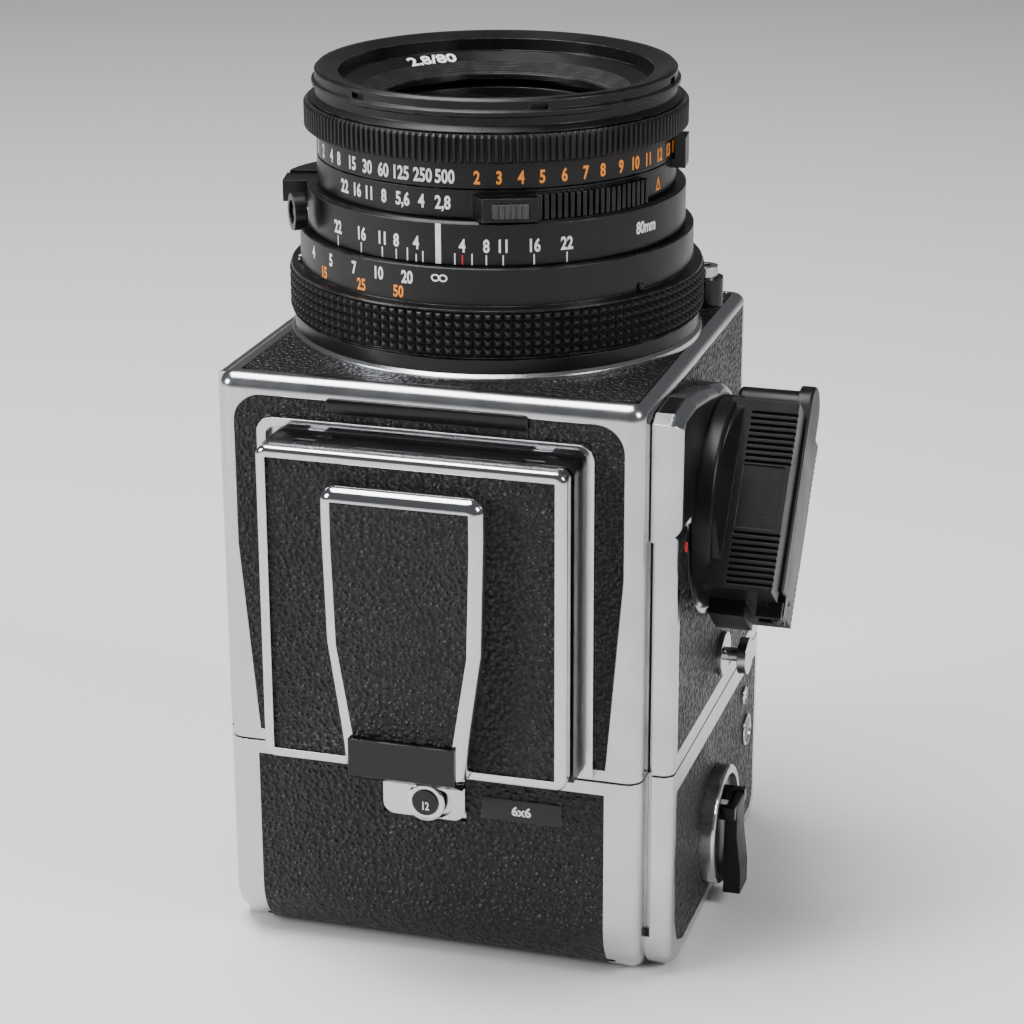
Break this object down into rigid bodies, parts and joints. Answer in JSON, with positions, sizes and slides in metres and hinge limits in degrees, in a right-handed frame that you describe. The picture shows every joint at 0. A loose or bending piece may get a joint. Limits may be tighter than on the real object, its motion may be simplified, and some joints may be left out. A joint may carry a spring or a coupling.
{
  "type": "medium format film camera",
  "caption": "Boxy reflex film camera with fold-up waist-level finder, round lens with turning rings, side winding crank and a film magazine at the rear.",
  "frame": {"origin": "the lens axis where it meets the plane of the magazine's rear face, on which the camera stands", "axes": "+Z forward along the lens axis (up as it stands), +X towards the winding crank, -Y the finder side, +Y the tripod foot side"},
  "size_m": [0.113, 0.1081, 0.1693],
  "materials": {
    "chrome": "polished chrome",
    "leather": "black pebble-grain leather",
    "black_enamel": "black enamel, satin",
    "lens_black": "black anodised aluminium",
    "matte_black": "matt black anti-reflection paint",
    "black_plastic": "black moulded plastic",
    "glass": "coated optical glass",
    "screen": "ground focusing glass",
    "mirror": "front-silvered mirror",
    "steel": "plain steel",
    "chromed_alloy": "chrome-plated cast alloy",
    "brass": "plain brass",
    "paper": "roll with paper backing"
  },
  "bodies": {
    "camera": {"main_shell": "chromed_alloy", "front_leather": "leather", "mount_ring": "chrome", "left_cover": "chromed_alloy", "left_leather": "leather", "right_cover": "chromed_alloy", "right_leather": "leather", "top_leather": "leather", "finder_rail": "chromed_alloy", "mirror_box": "matte_black", "focusing_screen": "screen", "release_collar": "black_enamel", "tripod_foot": "steel", "accessory_rail": "steel", "strap_lugs": "chrome", "finder_base": "black_enamel", "lens_mount": "lens_black", "mag_shell": "chromed_alloy", "mag_leather": "leather", "mag_side_leather": "leather", "film_insert": "matte_black"},
    "mirror": {"mirror_frame": "matte_black", "mirror_glass": "mirror"},
    "upper_flap": {"upper_flap": "matte_black"},
    "lower_flap": {"lower_flap": "matte_black"},
    "release_button": {"release_button": "chrome"},
    "lens_catch_button": {"lens_catch_button": "chrome"},
    "crank": {"crank_hub": "black_plastic", "winding_gear": "brass"},
    "crank_arm": {"crank_arm": "black_plastic"},
    "crank_grip": {"crank_grip": "black_plastic"},
    "film_gear": {"film_gear": "steel"},
    "lid": {"lid_frame": "chromed_alloy", "lid_leathers": "leather", "magnifier_cover": "chromed_alloy", "lid_tab": "black_enamel"},
    "hood_left": {"hood_left": "matte_black"},
    "hood_right": {"hood_right": "matte_black"},
    "hood_rear": {"hood_rear": "matte_black"},
    "magnifier": {"magnifier_ring": "matte_black", "magnifier_lens": "glass"},
    "focus_ring": {"focus_ring": "lens_black"},
    "lens_front": {"lens_core": "lens_black", "depth_ring": "lens_black", "front_rim": "lens_black", "iris_blades": "matte_black", "front_glass": "glass", "rear_glass": "glass", "sync_socket": "lens_black"},
    "aperture_ring": {"aperture_ring": "lens_black"},
    "interlock_button": {"interlock_button": "lens_black"},
    "speed_ring": {"speed_ring": "lens_black"},
    "preview_tab": {"preview_tab": "lens_black"},
    "mag_catch": {"mag_catch": "black_enamel"},
    "dark_slide": {"dark_slide": "steel"},
    "supply_spool": {"supply_spool": "paper"},
    "takeup_spool": {"takeup_spool": "black_plastic"},
    "film_crank": {"film_crank": "black_enamel"},
    "film_crank_handle": {"film_crank_handle": "black_enamel"}
  },
  "joints": [
    {"name": "mirror_swing", "type": "hinge", "parent": "camera", "child": "mirror", "pos_m": [0, -0.0324, 0.05], "axis": [1, 0, 0], "range_deg": [0, 45]},
    {"name": "upper_flap_swing", "type": "hinge", "parent": "camera", "child": "upper_flap", "pos_m": [0, -0.0296, 0.0468], "axis": [1, 0, 0], "range_deg": [0, 90]},
    {"name": "lower_flap_swing", "type": "hinge", "parent": "camera", "child": "lower_flap", "pos_m": [0, 0.0296, 0.0468], "axis": [1, 0, 0], "range_deg": [-90, 0]},
    {"name": "release_press", "type": "slide", "parent": "camera", "child": "release_button", "axis": [0, 0, -1], "range_m": [0, 0.002], "stiffness_N_per_m": 300, "springref_m": -0.002},
    {"name": "lens_catch_press", "type": "slide", "parent": "camera", "child": "lens_catch_button", "axis": [0, 0, -1], "range_m": [0, 0.002], "stiffness_N_per_m": 300, "springref_m": -0.002},
    {"name": "crank_turn", "type": "hinge", "parent": "camera", "child": "crank", "pos_m": [0.05, -0.0093, 0.0884], "axis": [1, 0, 0], "range_deg": [-360, 0]},
    {"name": "crank_arm_fold", "type": "hinge", "parent": "crank", "child": "crank_arm", "pos_m": [0.062, -0.02226, 0.07112], "axis": [0, 0.8, -0.6], "range_deg": [0, 180]},
    {"name": "crank_grip_spin", "type": "hinge", "parent": "crank_arm", "child": "crank_grip", "pos_m": [0.055, 0.00288, 0.10464], "axis": [1, 0, 0], "continuous": true},
    {"name": "film_gear_turn", "type": "hinge", "parent": "camera", "child": "film_gear", "pos_m": [0.0392, -0.0093, 0.0564], "axis": [1, 0, 0], "range_deg": [-10, 830]},
    {"name": "takeup_turn", "type": "hinge", "parent": "camera", "child": "takeup_spool", "pos_m": [0, -0.0043, 0.0172], "axis": [1, 0, 0], "range_deg": [-460, 10]},
    {"name": "supply_turn", "type": "hinge", "parent": "camera", "child": "supply_spool", "pos_m": [0, 0.0212, 0.0172], "axis": [1, 0, 0], "range_deg": [-350, 10]},
    {"name": "lid_open", "type": "hinge", "parent": "camera", "child": "lid", "pos_m": [0, -0.051, 0.1062], "axis": [-1, 0, 0], "range_deg": [0, 88]},
    {"name": "hood_left_fold", "type": "hinge", "parent": "camera", "child": "hood_left", "pos_m": [-0.0281, -0.0474, 0.075], "axis": [0, 0, 1], "range_deg": [-88, 0]},
    {"name": "hood_right_fold", "type": "hinge", "parent": "camera", "child": "hood_right", "pos_m": [0.0281, -0.0474, 0.075], "axis": [0, 0, 1], "range_deg": [0, 88]},
    {"name": "hood_rear_fold", "type": "hinge", "parent": "camera", "child": "hood_rear", "pos_m": [0, -0.0474, 0.0475], "axis": [1, 0, 0], "range_deg": [0, 88]},
    {"name": "magnifier_fold", "type": "hinge", "parent": "lid", "child": "magnifier", "pos_m": [0, -0.0513, 0.0505], "axis": [-1, 0, 0], "range_deg": [0, 88]},
    {"name": "focus_turn", "type": "hinge", "parent": "camera", "child": "focus_ring", "pos_m": [0, 0, 0.13], "axis": [0, 0, 1], "range_deg": [0, 290]},
    {"name": "focus_travel", "type": "slide", "parent": "camera", "child": "lens_front", "axis": [0, 0, 1], "range_m": [0, 0.0048]},
    {"name": "aperture_turn", "type": "hinge", "parent": "lens_front", "child": "aperture_ring", "pos_m": [0, 0, 0.15], "axis": [0, 0, 1], "range_deg": [0, 40]},
    {"name": "interlock_press", "type": "slide", "parent": "aperture_ring", "child": "interlock_button", "axis": [-0.3551, 0.9348, 0], "range_m": [0, 0.0008], "stiffness_N_per_m": 400, "springref_m": -0.001},
    {"name": "speed_turn", "type": "hinge", "parent": "lens_front", "child": "speed_ring", "pos_m": [0, 0, 0.158], "axis": [0, 0, 1], "range_deg": [0, 58]},
    {"name": "preview_press", "type": "slide", "parent": "lens_front", "child": "preview_tab", "axis": [0, 0, -1], "range_m": [0, 0.0015], "stiffness_N_per_m": 300, "springref_m": -0.002},
    {"name": "catch_slide", "type": "slide", "parent": "camera", "child": "mag_catch", "axis": [1, 0, 0], "range_m": [0, 0.0024], "stiffness_N_per_m": 200, "springref_m": -0.002},
    {"name": "dark_slide_pull", "type": "slide", "parent": "camera", "child": "dark_slide", "axis": [-1, 0, 0], "range_m": [0, 0.07]},
    {"name": "film_crank_turn", "type": "hinge", "parent": "camera", "child": "film_crank", "pos_m": [0.045, -0.0043, 0.0172], "axis": [1, 0, 0], "continuous": true},
    {"name": "film_crank_fold", "type": "hinge", "parent": "film_crank", "child": "film_crank_handle", "pos_m": [0.0509, -0.0043, 0.0221], "axis": [0, -1, 0], "range_deg": [0, 90]}
  ],
  "couplings": [
    {"joint": "upper_flap_swing", "follows": "mirror_swing", "ratio": 2},
    {"joint": "lower_flap_swing", "follows": "mirror_swing", "ratio": -2},
    {"joint": "film_gear_turn", "follows": "crank_turn", "ratio": -2.2},
    {"joint": "takeup_turn", "follows": "crank_turn", "ratio": 1.2},
    {"joint": "supply_turn", "follows": "crank_turn", "ratio": 0.9},
    {"joint": "hood_left_fold", "follows": "lid_open", "ratio": -1},
    {"joint": "hood_right_fold", "follows": "lid_open", "ratio": 1},
    {"joint": "hood_rear_fold", "follows": "lid_open", "ratio": 1},
    {"joint": "magnifier_fold", "follows": "lid_open", "ratio": 1},
    {"joint": "focus_travel", "follows": "focus_turn", "m_per_rad": 0.00094834}
  ]
}
